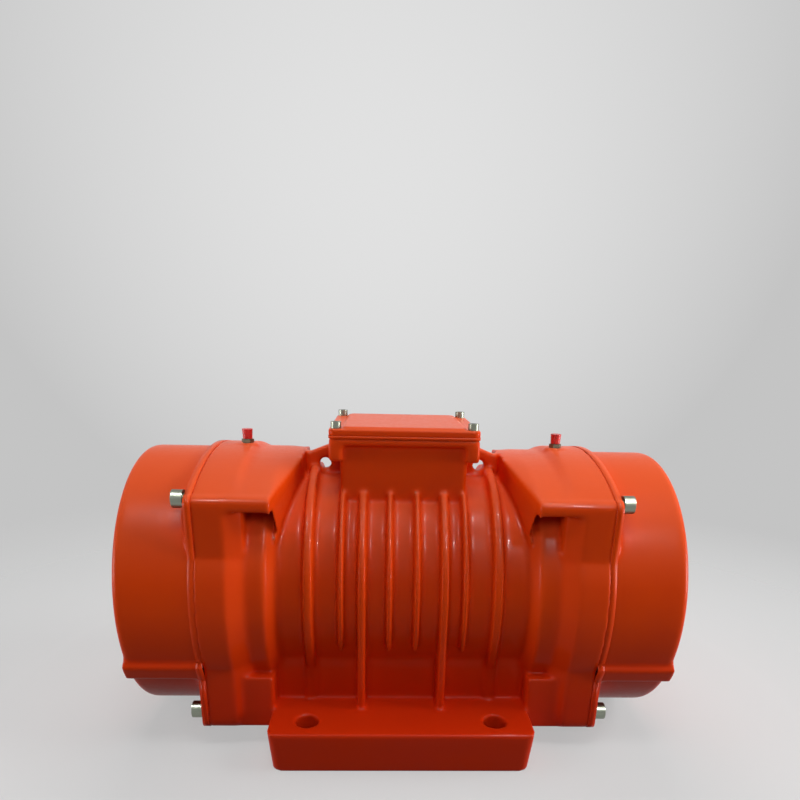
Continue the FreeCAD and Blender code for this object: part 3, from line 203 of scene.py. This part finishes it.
class Finish:
    """One material and its node tree."""

    def __init__(self, name):
        self.material = bpy.data.materials.new(name)
        self.material.use_nodes = True
        self.tree = self.material.node_tree
        self.tree.nodes.clear()

    @classmethod
    def over(cls, tree):
        """The same tools for a node tree that is there already."""
        finish = cls.__new__(cls)
        finish.tree = tree
        return finish

    def node(self, kind, settings=None, values=None, output=0):
        """Adds a node, sets it up, feeds its sockets and gives one of its outputs."""
        made = self.tree.nodes.new(kind)
        for name, setting in (settings or {}).items():
            setattr(made, name, setting)
        for name, value in (values or {}).items():
            if isinstance(value, Wire):
                self.tree.links.new(value.socket, made.inputs[name])
            else:
                made.inputs[name].default_value = value
        return Wire(self, made.outputs[output]) if made.outputs else made

    def place(self, stretch=(1.0, 1.0, 1.0)):
        """Where a point lies on the object, stretched along the axes."""
        where = self.node("ShaderNodeTexCoord", output="Object")
        return self.node("ShaderNodeMapping", {}, {"Vector": where, "Scale": stretch})

    def noise(self, where, scale, detail=2.0, roughness=0.5):
        return self.node("ShaderNodeTexNoise", {}, {
            "Vector": where, "Scale": scale, "Detail": detail, "Roughness": roughness})

    def mask(self, value, low, high):
        """0 below low, 1 above high; the other way round where low is the larger."""
        return self.node("ShaderNodeMapRange", {"clamp": True}, {
            "Value": value, "From Min": low, "From Max": high})

    def mix(self, factor, first, second):
        return self.node("ShaderNodeMix", {"data_type": "RGBA"},
                         {0: factor, 6: first, 7: second}, output=2)

    def split(self, vector, axis):
        return self.node("ShaderNodeSeparateXYZ", {}, {0: vector}, output=axis)

    def bump(self, height, depth, strength=1.0):
        return self.node("ShaderNodeBump", {}, {
            "Height": height, "Distance": depth, "Strength": strength})

    def surface(self, **values):
        """The one shader of the material; names are those of its sockets."""
        named = {name.replace("_", " ").title().replace("Ior", "IOR"): value
                 for name, value in values.items()}
        shader = self.node("ShaderNodeBsdfPrincipled", {}, named)
        self.node("ShaderNodeOutputMaterial", {}, {"Surface": shader})
        return self.material


def seen(finish):
    """1 for rays from the camera and through reflections or glass, 0 for lighting."""
    kinds = [finish.node("ShaderNodeLightPath", output=name) for name in (
        "Is Camera Ray", "Is Glossy Ray", "Is Transmission Ray")]
    return finish.mask(kinds[0] + kinds[1] + kinds[2], 0.0, 1.0)


def enamel(name, paint, painted_highlight, dark_tone_and_shade, shine=0.6):
    """Glossy enamel over a casting. Its colour holds painted highlight, paler on faces that look
    up and on convex edges, and painted shade, darker in corners and towards the floor; shine sets
    the gloss of edges and their painted highlight.
    """
    finish = Finish(name)
    where = finish.place()
    waves = finish.noise(where, 42.0, 2.0)
    skin = finish.noise(where, 260.0, 2.0)
    patches = finish.noise(where, 11.0, 3.0)
    bend = finish.node("ShaderNodeNewGeometry", output="Pointiness")
    upward = finish.split(finish.node("ShaderNodeNewGeometry", output="Normal"), "Z")
    height = finish.split(where, "Z")
    colour = finish.mix(finish.mask(patches, 0.35, 0.75) * 0.2, paint, dark_tone_and_shade)
    # Painted shade: darker towards the floor.
    colour = finish.mix(finish.mask(height, 0.15, 0.05) * 0.65, colour, dark_tone_and_shade)
    # Painted highlight: paler on faces that look up, above the lowest 0.1 to 0.2 m.
    top_highlight = finish.mask(upward, 0.25, 0.95) * finish.mask(height, 0.1, 0.2)
    colour = finish.mix(top_highlight * 0.75, colour, painted_highlight)
    # Painted highlight: convex edges are painted paler; they also get more coat.
    ridge = finish.mask(bend, 0.54, 0.62)
    colour = finish.mix(ridge * shine * 0.8, colour, painted_highlight)
    # Painted shade: darker in corners and creases.
    colour = finish.mix(finish.mask(bend, 0.5, 0.45) * 0.45, colour, dark_tone_and_shade)
    return finish.surface(
        base_color=colour,
        roughness=0.28 + finish.mask(skin, 0.3, 0.7) * 0.08,
        coat_weight=0.03 + finish.mask(patches, 0.3, 0.8) * 0.06 + ridge * shine,
        coat_roughness=0.06,
        specular_ior_level=0.05,
        normal=finish.bump(waves + skin * 0.08, 0.0005, 0.5))


def metal(name, colour, dark, roughness=0.32, scale=260.0, stretch=(1.0, 1.0, 1.0), metallic=1.0,
          depth=0.0002):
    """Bare or plated metal with a fine surface and slight stains."""
    finish = Finish(name)
    where = finish.place(stretch)
    fine = finish.noise(where, scale, 4.0, 0.6)
    stain = finish.noise(finish.place(), 38.0, 3.0)
    shade = finish.mix(finish.mask(stain, 0.45, 0.75) * 0.5, colour, dark)
    shade = finish.mix(finish.mask(fine, 0.55, 0.8) * 0.3, shade, dark)
    return finish.surface(
        base_color=shade, metallic=metallic,
        roughness=roughness + finish.mask(fine, 0.3, 0.8) * 0.15,
        normal=finish.bump(fine, depth, 0.4))


def moulded(name, colour, pale, roughness=0.45, coat=0.0):
    """Moulded plastic, resin or rubber with a fine matt grain."""
    finish = Finish(name)
    where = finish.place()
    grain = finish.noise(where, 900.0, 3.0)
    wear = finish.noise(where, 70.0, 3.0)
    shade = finish.mix(finish.mask(wear, 0.5, 0.8) * 0.4, colour, pale)
    return finish.surface(
        base_color=shade, coat_weight=coat,
        roughness=roughness + finish.mask(grain, 0.3, 0.8) * 0.12,
        normal=finish.bump(grain, 0.0002, 0.35))


def laminated(name, sheet, pair):
    """Stacked steel sheets, seen as fine lines round the core."""
    finish = Finish(name)
    along = finish.split(finish.place(), "X")
    sheets = finish.node("ShaderNodeMath", {"operation": "PINGPONG"}, {0: along, 1: pair})
    line = finish.mask(sheets, pair / 4, 0.0)
    stain = finish.noise(finish.place(), 60.0, 3.0)
    shade = finish.mix(finish.mask(stain, 0.4, 0.7) * 0.5, sheet, linear(92, 84, 78))
    shade = finish.mix(line * 0.7, shade, linear(40, 40, 44))
    return finish.surface(base_color=shade, metallic=0.85,
                          roughness=0.4 + finish.mask(stain, 0.3, 0.7) * 0.15,
                          normal=finish.bump(line, 0.0002, 0.5))


def wound_copper(name, wire):
    """Enamelled wire in bundles that lean round the coil heads, soaked in varnish."""
    finish = Finish(name)
    where = finish.place()
    bundles = finish.node("ShaderNodeTexWave", {"wave_type": "RINGS", "rings_direction": "X"}, {
        "Vector": where, "Scale": 190.0, "Distortion": 3.0, "Detail": 2.0, "Detail Scale": 6.0},
        output="Fac")
    varnish = finish.noise(where, 45.0, 3.0)
    # Painted highlight and shade: the wire colour stands for the bundles where light catches
    # them, the darker colour for the wire between them.
    shade = finish.mix(finish.mask(bundles, 0.2, 0.9), linear(96, 40, 16), wire)
    shade = finish.mix(finish.mask(varnish, 0.5, 0.75) * 0.6, shade, linear(84, 34, 18))
    return finish.surface(base_color=shade, metallic=0.35, coat_weight=0.5,
                          roughness=0.35 + finish.mask(varnish, 0.3, 0.8) * 0.2,
                          normal=finish.bump(bundles, 0.0006, 0.7))


# ---------------------------------------------------------------- shapes


def add_piece(name, shape):
    """An object for a finished bmesh, at the origin."""
    mesh = bpy.data.meshes.new(name)
    shape.to_mesh(mesh)
    shape.free()
    piece = bpy.data.objects.new(name, mesh)
    bpy.context.scene.collection.objects.link(piece)
    for face in mesh.polygons:
        face.use_smooth = True
    return piece


def finish_piece(piece, body, material, stands_for=()):
    """Paints a piece, hangs it on the body that it moves with and hides the CAD nodes that it
    stands for.
    """
    piece.data.materials.clear()
    piece.data.materials.append(material)
    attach(piece, body)
    if stands_for:
        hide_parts(*stands_for)


def applied(piece):
    """The piece with its modifiers worked into its mesh."""
    graph = bpy.context.evaluated_depsgraph_get()
    mesh = bpy.data.meshes.new_from_object(piece.evaluated_get(graph))
    piece.modifiers.clear()
    piece.data = mesh
    return mesh


def cast(node, name, grain, softness, facets):
    """A copy of a CAD node with its edges and corners rounded as sand casting leaves them."""
    shape = bmesh.new()
    shape.from_mesh(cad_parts[node].data)
    bmesh.ops.remove_doubles(shape, verts=shape.verts, dist=WELD)
    piece = add_piece(name, shape)
    remesh = piece.modifiers.new("grain", "REMESH")
    remesh.mode = "VOXEL"
    remesh.voxel_size = grain
    smooth = piece.modifiers.new("soft", "SMOOTH")
    smooth.iterations = softness
    mesh = applied(piece)
    triangles = 2 * len(mesh.polygons)
    if triangles > facets:
        thin = piece.modifiers.new("thin", "DECIMATE")
        thin.ratio = facets / triangles
        mesh = applied(piece)
    for face in mesh.polygons:
        face.use_smooth = True
    return piece


def band(name, node, axis, at, reach):
    """A thin band of paint round the outline that a CAD node has in a plane across an axis.

    Of the loops that the plane cuts, the outermost is kept. It is drawn in a little, so that the
    band lies in the paint, and extruded by reach to either side.
    """
    shape = bmesh.new()
    shape.from_mesh(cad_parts[node].data)
    bmesh.ops.remove_doubles(shape, verts=shape.verts, dist=WELD)
    along = Vector([letter == axis for letter in "XYZ"])
    bmesh.ops.bisect_plane(
        shape, geom=shape.verts[:] + shape.edges[:] + shape.faces[:], plane_co=along * at,
        plane_no=along, clear_inner=True, clear_outer=True)
    low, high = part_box(node)
    middle = (low + high) / 2
    middle += along * (at - middle.dot(along))
    outer = max(shape.verts, key=lambda vert: (vert.co - middle).length)
    kept = {outer}
    queue = [outer]
    while queue:
        for edge in queue.pop().link_edges:
            for vert in edge.verts:
                if vert not in kept:
                    kept.add(vert)
                    queue.append(vert)
    bmesh.ops.delete(shape, geom=[vert for vert in shape.verts if vert not in kept],
                     context="VERTS")
    inward = 1.0 - STRIP_SINK / (outer.co - middle).length
    for vert in shape.verts:
        vert.co = middle + (vert.co - middle) * inward - along * reach
    strip = bmesh.ops.extrude_edge_only(shape, edges=shape.edges[:])
    moved = [item for item in strip["geom"] if isinstance(item, bmesh.types.BMVert)]
    bmesh.ops.translate(shape, verts=moved, vec=along * reach * 2)
    bmesh.ops.recalc_face_normals(shape, faces=shape.faces)
    piece = add_piece(name, shape)
    thick = piece.modifiers.new("thick", "SOLIDIFY")
    thick.thickness = STRIP_WALL
    thick.offset = 0.0
    return piece


def machine(node, material, edge=0.0):
    """Finishes a CAD node as it is, with its edges broken where an edge width is given."""
    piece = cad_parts[node]
    piece.data.materials.clear()
    piece.data.materials.append(material)
    if edge:
        weld = piece.modifiers.new("weld", "WELD")
        weld.merge_threshold = WELD
        bevel = piece.modifiers.new("edge", "BEVEL")
        bevel.width = edge
        bevel.segments = 2
        bevel.limit_method = "ANGLE"
        bevel.angle_limit = math.radians(35)
        piece.modifiers.new("shading", "WEIGHTED_NORMAL")
        for face in piece.data.polygons:
            face.use_smooth = True
    return piece


# ---------------------------------------------------------------- operators


class MOTOR_OT_castings(bpy.types.Operator):
    """Cast housing, both end covers and the terminal box lid, in enamel"""

    bl_idname = "motor.castings"
    bl_label = "Castings"

    def execute(self, context):
        settings = context.scene.motor_castings
        colours = [tuple(colour) for colour in (
            settings.paint, settings.highlight_paint, settings.dark_and_shaded_paint)]
        paint = enamel("orange_enamel", *colours)
        bridging = enamel("orange_enamel_joints", *colours, shine=0.0)
        housing = cast("motor_housing", "housing_casting", settings.grain, settings.softness,
                       settings.facets)
        finish_piece(housing, "housing", paint, ["motor_housing"])
        for side in SIDES:
            node = "end_cover_" + side
            cover = cast(node, "cover_casting_" + side, settings.grain, settings.softness,
                         settings.facets // 2)
            finish_piece(cover, "housing", paint, [node])
        lid = cast("terminal_box_lid", "lid_casting", settings.lid_grain, settings.softness,
                   settings.facets // 3)
        finish_piece(lid, "housing", paint, ["terminal_box_lid"])
        for side, inner, outward in (("left", 1, -1), ("right", 0, 1)):
            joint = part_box("end_cover_" + side)[inner].x
            seam = band("cover_seam_" + side, "end_cover_" + side, "X",
                        joint + JOINT_GAP * outward, settings.seam)
            finish_piece(seam, "housing", bridging)
        low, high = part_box("lid_gasket")
        seam = band("lid_seam", "lid_gasket", "Z", (low.z + high.z) / 2,
                    (high.z - low.z) / 2 + LID_STRIP_LAP)
        finish_piece(seam, "housing", bridging)
        return {"FINISHED"}


class MOTOR_OT_screws(bpy.types.Operator):
    """Zinc plated socket screws of the covers, lid and bearings"""

    bl_idname = "motor.screws"
    bl_label = "Screws"

    def execute(self, context):
        settings = context.scene.motor_screws
        zinc = metal("zinc_plate", tuple(settings.zinc), linear(120, 116, 96), 0.3, 500.0)
        for node in ["lid_bolts"] + [kind + side for side in SIDES for kind in (
                "cover_bolts_", "bearing_flange_bolts_", "bearing_cap_bolts_", "clamp_bolt_")]:
            machine(node, zinc, settings.edge)
        return {"FINISHED"}


class MOTOR_OT_grease_points(bpy.types.Operator):
    """Steel grease nipples under red plastic caps"""

    bl_idname = "motor.grease_points"
    bl_label = "Grease points"

    def execute(self, context):
        settings = context.scene.motor_grease
        steel = metal("nipple_plate", tuple(settings.nipple), linear(84, 88, 70), 0.35, 700.0)
        plastic = moulded("red_cap", tuple(settings.cap), linear(226, 70, 60), 0.32, 0.2)
        for side in SIDES:
            machine("grease_nipple_" + side, steel, 0.0002)
            machine("grease_cap_" + side, plastic, 0.0004)
        return {"FINISHED"}


class MOTOR_OT_cable_gland(bpy.types.Operator):
    """Black cable gland in the rear wall of the terminal box"""

    bl_idname = "motor.cable_gland"
    bl_label = "Cable gland"

    def execute(self, context):
        settings = context.scene.motor_fittings
        nylon = moulded("black_nylon", tuple(settings.nylon), linear(58, 60, 64), 0.42)
        rubber = moulded("black_rubber", tuple(settings.gland_rubber), linear(40, 40, 42), 0.7)
        machine("gland_body", nylon, 0.0005)
        machine("gland_nut", nylon, 0.0008)
        machine("gland_seal", rubber)
        return {"FINISHED"}


class MOTOR_OT_terminals(bpy.types.Operator):
    """Terminal block, studs, nuts, earth screw and the seals"""

    bl_idname = "motor.terminals"
    bl_label = "Terminals and seals"

    def execute(self, context):
        settings = context.scene.motor_fittings
        resin = moulded("brown_resin", tuple(settings.resin), linear(96, 60, 42), 0.35, 0.2)
        brass = metal("bright_brass", tuple(settings.brass), linear(132, 98, 46), 0.25, 600.0)
        rubber = moulded("seal_rubber", tuple(settings.seal_rubber), linear(62, 60, 58), 0.65)
        machine("terminal_block", resin, 0.0006)
        for node in ("terminal_studs", "terminal_nuts", "earth_screw"):
            machine(node, brass, 0.0002)
        for node in ("lid_gasket", "cover_seal_left", "cover_seal_right"):
            machine(node, rubber)
        return {"FINISHED"}


class MOTOR_OT_running_gear(bpy.types.Operator):
    """Shaft, bearings and eccentric weights"""

    bl_idname = "motor.running_gear"
    bl_label = "Running gear"

    def execute(self, context):
        settings = context.scene.motor_running_gear
        edge = context.scene.motor_screws.edge
        ground = metal("ground_steel", tuple(settings.ground), linear(128, 126, 124), 0.22,
                       420.0, (0.2, 1.0, 1.0))
        race = metal("bearing_steel", tuple(settings.race), linear(140, 140, 142), 0.16, 380.0)
        brass = metal("cage_brass", tuple(settings.cage), linear(140, 104, 54), 0.3, 500.0)
        iron = metal("turned_iron", tuple(settings.turned), linear(72, 68, 64), 0.42, 240.0,
                     (0.3, 1.0, 1.0))
        cast_iron = metal("weight_iron", tuple(settings.weight), linear(54, 50, 48), 0.5, 160.0,
                          depth=0.0005)
        for node in ("shaft", "weight_keys", "shaft_end_rings"):
            machine(node, ground, edge)
        for side in SIDES:
            for kind in ("bearing_outer_ring_", "bearing_inner_ring_", "bearing_rollers_"):
                machine(kind + side, race, edge)
            machine("bearing_cage_" + side, brass)
            for kind in ("bearing_flange_", "bearing_cap_", "spacer_ring_"):
                machine(kind + side, iron, edge)
            for kind in ("fixed_weight_", "adjustable_weight_"):
                machine(kind + side, cast_iron, edge)
        return {"FINISHED"}


class MOTOR_OT_electric_parts(bpy.types.Operator):
    """Stator and rotor packs with their windings and end rings"""

    bl_idname = "motor.electric_parts"
    bl_label = "Stator and rotor"

    def execute(self, context):
        settings = context.scene.motor_electric
        sheets = laminated("core_sheets", tuple(settings.sheet), settings.sheet_height)
        copper = wound_copper("varnished_copper", tuple(settings.wire))
        aluminium = metal("cast_aluminium", tuple(settings.aluminium), linear(132, 132, 132),
                          0.45, 220.0, depth=0.0004)
        for node in ("stator_core", "rotor_core"):
            machine(node, sheets)
        machine("stator_windings", copper)
        machine("rotor_end_rings", aluminium, 0.0008)
        return {"FINISHED"}


class MOTOR_OT_stage(bpy.types.Operator):
    """Pale floor and backdrop, lamps and camera"""

    bl_idname = "motor.stage"
    bl_label = "Stage"
    middle = (0.0, 0.0, 0.15)

    def execute(self, context):
        settings = context.scene.motor_stage
        self.add_floor(settings)
        self.add_lamps(context.scene, settings)
        self.add_world(context.scene, settings)
        self.add_camera(context.scene, settings)
        context.scene.view_settings.view_transform = "Standard"
        return {"FINISHED"}

    def add_floor(self, settings):
        """A wide floor, pale to the camera and in reflections."""
        shape = bmesh.new()
        bmesh.ops.create_grid(shape, x_segments=1, y_segments=1, size=12.0)
        floor = add_piece("floor", shape)
        finish = Finish("pale_floor")
        away = finish.node("ShaderNodeVectorMath", {"operation": "LENGTH"},
                           {0: finish.place()}, output="Value")
        lit, glow = (tuple(channel * share for channel in settings.floor[:3]) + (1.0,)
                     for share in (1.0 - settings.glow, settings.glow))
        floor.data.materials.append(finish.surface(
            base_color=finish.mix(seen(finish), tuple(settings.shade), lit),
            emission_color=finish.mix(seen(finish), BLACK, glow),
            emission_strength=1.0, roughness=0.8, specular_ior_level=0.1,
            alpha=finish.mask(away, settings.far, settings.near)))

    def add_lamp(self, scene, name, place, size, energy):
        """A flat lamp that faces the motor and that the camera doesn't see."""
        lamp = bpy.data.lights.new(name, "AREA")
        lamp.shape = "RECTANGLE"
        lamp.size, lamp.size_y = size
        lamp.energy = energy
        holder = bpy.data.objects.new(name, lamp)
        holder.location = place
        holder.rotation_mode = "QUATERNION"
        ahead = Vector(self.middle) - Vector(place)
        holder.rotation_quaternion = ahead.to_track_quat("-Z", "Y")
        holder.visible_camera = False
        scene.collection.objects.link(holder)
        return holder

    def add_lamps(self, scene, settings):
        """Soft lamps all round, and narrow ones that only show in gloss."""
        for name, place, size, glossy in (
                ("key", (0.0, 0.75, 1.9), (1.0, 0.6), False),
                ("brow", (0.0, -0.6, 1.9), (0.6, 0.4), False),
                ("front", (0.1, -1.4, 0.9), (0.5, 0.4), False),
                ("rear", (0.0, 1.7, 0.5), (0.6, 0.4), False),
                ("left", (-1.8, -0.25, 0.25), (0.8, 0.5), True),
                ("right", (1.8, -0.25, 0.25), (0.8, 0.5), True),
                ("high_left", (-1.5, -0.1, 1.3), (0.9, 0.7), False),
                ("high_right", (1.5, -0.1, 1.3), (0.9, 0.7), False)):
            lamp = self.add_lamp(scene, name, place, size, getattr(settings, name))
            lamp.visible_glossy = glossy
        for name, place in (("upper", (0.5, -0.35, 1.9)), ("middle", (-0.6, -0.7, 1.7)),
                            ("lower", (0.6, -1.0, 1.4))):
            lamp = self.add_lamp(scene, name + "_sparkle", place, (0.04, 0.2), settings.sparkle)
            lamp.visible_diffuse = False

    def add_world(self, scene, settings):
        """Even light all round, and a background of its own colour, with a painted pool of light
        that makes it palest behind the motor.
        """
        world = bpy.data.worlds.new("even_light")
        world.use_nodes = True
        world.node_tree.nodes.clear()
        sky = Finish.over(world.node_tree)
        # Painted pool of light on the background, centred behind the motor.
        centred = sky.node("ShaderNodeVectorMath", {"operation": "DOT_PRODUCT"},
                           {0: sky.place(), 1: (0.0, 0.97, 0.22)}, output="Value")
        far = sky.mix(sky.mask(centred, 0.85, 1.0), tuple(settings.horizon),
                      tuple(settings.backdrop_glow))
        light = sky.node("ShaderNodeBackground", {}, {
            "Color": sky.mix(seen(sky), tuple(settings.sky), far)})
        sky.node("ShaderNodeOutputWorld", {}, {"Surface": light})
        scene.world = world

    def add_camera(self, scene, settings):
        """The camera, turned by its yaw, then its pitch, then its roll."""
        ahead = Vector((math.sin(settings.yaw) * math.cos(settings.pitch),
                        math.cos(settings.yaw) * math.cos(settings.pitch),
                        -math.sin(settings.pitch)))
        level = Vector((math.cos(settings.yaw), -math.sin(settings.yaw), 0.0))
        upward = level.cross(ahead)
        side = level * math.cos(settings.roll) + upward * math.sin(settings.roll)
        top = upward * math.cos(settings.roll) - level * math.sin(settings.roll)
        lens = bpy.data.cameras.new("camera")
        lens.lens = settings.lens
        lens.sensor_width = 36.0
        lens.shift_y = settings.rise
        camera = bpy.data.objects.new("camera", lens)
        turn = Matrix((side, top, -ahead)).transposed().to_4x4()
        camera.matrix_world = Matrix.Translation(Vector(settings.eye)) @ turn
        scene.collection.objects.link(camera)
        scene.camera = camera


class MOTOR_PT_dressing(bpy.types.Panel):
    """Lists the steps that dress the motor"""

    bl_label = "Vibration motor"
    bl_idname = "MOTOR_PT_dressing"
    bl_space_type = "VIEW_3D"
    bl_region_type = "UI"
    bl_category = "Motor"

    def draw(self, context):
        for operator, settings in STEPS:
            self.layout.operator(operator.bl_idname)
            if settings:
                group = getattr(context.scene, settings)
                for name in group.bl_rna.properties.keys():
                    if name not in ("rna_type", "name"):
                        self.layout.prop(group, name)


STEPS = (
    (MOTOR_OT_castings, "motor_castings"),
    (MOTOR_OT_screws, "motor_screws"),
    (MOTOR_OT_grease_points, "motor_grease"),
    (MOTOR_OT_cable_gland, None),
    (MOTOR_OT_terminals, "motor_fittings"),
    (MOTOR_OT_running_gear, "motor_running_gear"),
    (MOTOR_OT_electric_parts, "motor_electric"),
    (MOTOR_OT_stage, "motor_stage"),
)
GROUPS = {
    "motor_castings": CastingSettings,
    "motor_screws": ScrewSettings,
    "motor_grease": GreaseSettings,
    "motor_fittings": FittingSettings,
    "motor_running_gear": RunningGearSettings,
    "motor_electric": ElectricSettings,
    "motor_stage": StageSettings,
}


def register():
    for name, group in GROUPS.items():
        bpy.utils.register_class(group)
        setattr(bpy.types.Scene, name, PointerProperty(type=group))
    for operator, _ in STEPS:
        bpy.utils.register_class(operator)
    bpy.utils.register_class(MOTOR_PT_dressing)


def unregister():
    bpy.utils.unregister_class(MOTOR_PT_dressing)
    for operator, _ in reversed(STEPS):
        bpy.utils.unregister_class(operator)
    for name, group in reversed(GROUPS.items()):
        delattr(bpy.types.Scene, name)
        bpy.utils.unregister_class(group)


def main():
    register()
    for operator, _ in STEPS:
        getattr(bpy.ops.motor, operator.bl_idname.split(".")[1])()


if __name__ == "__main__":
    main()
